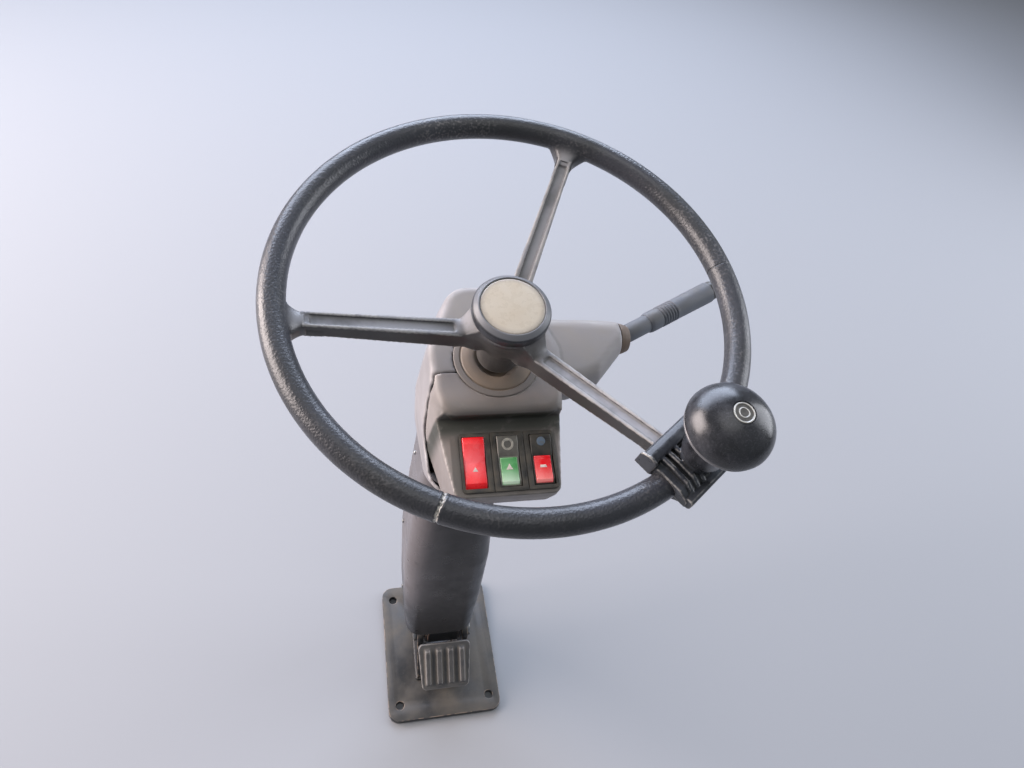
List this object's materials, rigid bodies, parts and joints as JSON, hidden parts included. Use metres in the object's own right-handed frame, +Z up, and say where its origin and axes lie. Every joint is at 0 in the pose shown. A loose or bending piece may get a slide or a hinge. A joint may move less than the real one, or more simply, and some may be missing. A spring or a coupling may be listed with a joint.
{
  "type": "tilting steering column with steering wheel, from a wheeled excavator cab",
  "caption": "Tilting cab steering column: dished three-spoke wheel with a spinner knob, a moulded head with rocker switches and a stalk, on a sprung floor pivot.",
  "frame": {"origin": "middle of the four floor bolts, on the underside of the floor plate", "axes": "+Z up from the cab floor, +Y forward towards the windscreen, +X to the driver's right"},
  "size_m": [0.4149, 0.3503, 0.7258],
  "materials": {
    "floor_steel": "satin black paint, worn",
    "pin_steel": "turned steel",
    "pedal_rubber": "dusty moulded rubber",
    "spine_steel": "satin black paint",
    "unit_iron": "painted casting",
    "collar_metal": "dusty brown-grey moulded ring",
    "shell_plastic": "grained grey plastic, dusty",
    "cover_plastic": "grained dark grey plastic, dusty",
    "switch_black": "satin black plastic",
    "rocker_red": "translucent red plastic",
    "rocker_green": "translucent green plastic",
    "rocker_grey": "grey plastic",
    "stalk_plastic": "dusty blue-grey plastic",
    "rim_foam": "grained black foam skin",
    "spoke_cast": "dark coated casting with worn edges",
    "cap_black": "black plastic",
    "cap_ivory": "pale ivory plastic, bare",
    "clamp_cast": "black coated casting with worn edges",
    "knob_black": "satin black plastic, hand-polished",
    "spring_black": "black paint",
    "rod_chrome": "hard chrome"
  },
  "bodies": {
    "base": {"floor_plate": "floor_steel", "pivot_ears": "floor_steel", "pivot_pin": "pin_steel", "strut_foot": "floor_steel", "release_lever": "floor_steel", "release_pad": "pedal_rubber"},
    "column": {"spine": "spine_steel", "head_plate": "spine_steel", "steering_unit": "unit_iron", "collar": "collar_metal", "rear_shell": "shell_plastic", "front_cover": "shell_plastic", "lower_cover": "cover_plastic", "switch_case_left": "switch_black", "switch_case_middle": "switch_black", "switch_case_right": "switch_black", "rocker_left": "rocker_red", "rocker_middle": "rocker_grey", "rocker_right": "rocker_grey", "lens_middle": "rocker_green", "lens_right": "rocker_red", "stalk_socket": "shell_plastic", "stalk_arm": "stalk_plastic", "stalk_grip": "stalk_plastic", "stalk_tip": "switch_black", "strut_bracket": "spine_steel"},
    "wheel": {"rim": "rim_foam", "spider": "spoke_cast", "hub_cap": "cap_black", "cap_disc": "cap_ivory", "steering_shaft": "pin_steel", "clamp_upper": "clamp_cast", "clamp_lower": "clamp_cast", "knob_post": "pin_steel"},
    "knob": {"knob_body": "knob_black", "knob_inlay": "rocker_grey"},
    "spring_barrel": {"strut_barrel": "spring_black"},
    "spring_rod": {"strut_rod": "rod_chrome"}
  },
  "joints": [
    {"name": "column_tilt", "type": "hinge", "parent": "base", "child": "column", "pos_m": [0, 0, 0.06], "axis": [1, 0, 0], "range_deg": [-15, 8]},
    {"name": "steering_turn", "type": "hinge", "parent": "column", "child": "wheel", "pos_m": [0.012, -0.02, 0.672], "axis": [0, -0.2588, 0.9659], "continuous": true},
    {"name": "knob_spin", "type": "hinge", "parent": "wheel", "child": "knob", "pos_m": [0.11207, -0.16857, 0.69431], "axis": [0, -0.2588, 0.9659], "continuous": true},
    {"name": "spring_swing", "type": "hinge", "parent": "base", "child": "spring_barrel", "pos_m": [0, 0.062, 0.036], "axis": [1, 0, 0], "range_deg": [-13.9, 7.4]},
    {"name": "spring_slide", "type": "slide", "parent": "spring_barrel", "child": "spring_rod", "axis": [0, 0, 1], "range_m": [-0.0166, 0.0089]}
  ],
  "couplings": [
    {"joint": "spring_swing", "follows": "column_tilt", "ratio": 0.92},
    {"joint": "spring_slide", "follows": "column_tilt", "m_per_rad": 0.0625}
  ]
}
